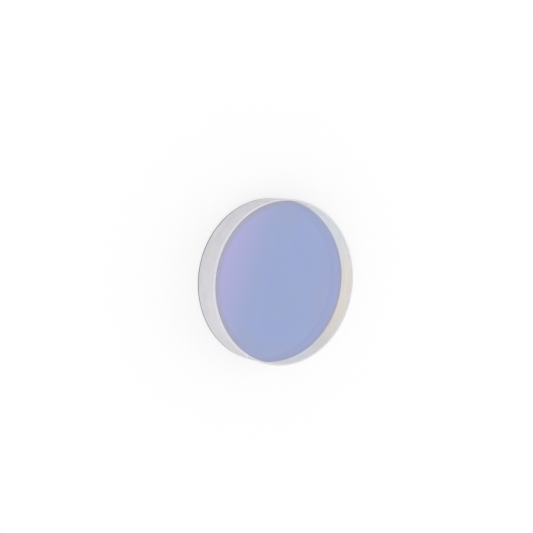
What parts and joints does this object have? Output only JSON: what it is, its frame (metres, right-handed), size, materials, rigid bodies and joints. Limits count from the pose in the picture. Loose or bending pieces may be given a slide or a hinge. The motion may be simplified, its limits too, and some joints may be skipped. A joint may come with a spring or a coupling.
{
  "type": "laser protective lens",
  "caption": "Thick round flat window of fused silica with a blue-violet coating on both faces, a ground edge and chamfered rims, for shielding laser optics.",
  "frame": {"origin": "centre of the lower face, on which the lens rests", "axes": "+Z along the optical axis, from the lower face to the upper one; the lens is round about it"},
  "size_m": [0.037, 0.037, 0.007],
  "materials": {
    "coated_silica": "polished faces with a blue-violet anti-reflection coating, bare clear rim, finely ground edge"
  },
  "bodies": {
    "root": {"lens": "coated_silica"}
  },
  "joints": []
}
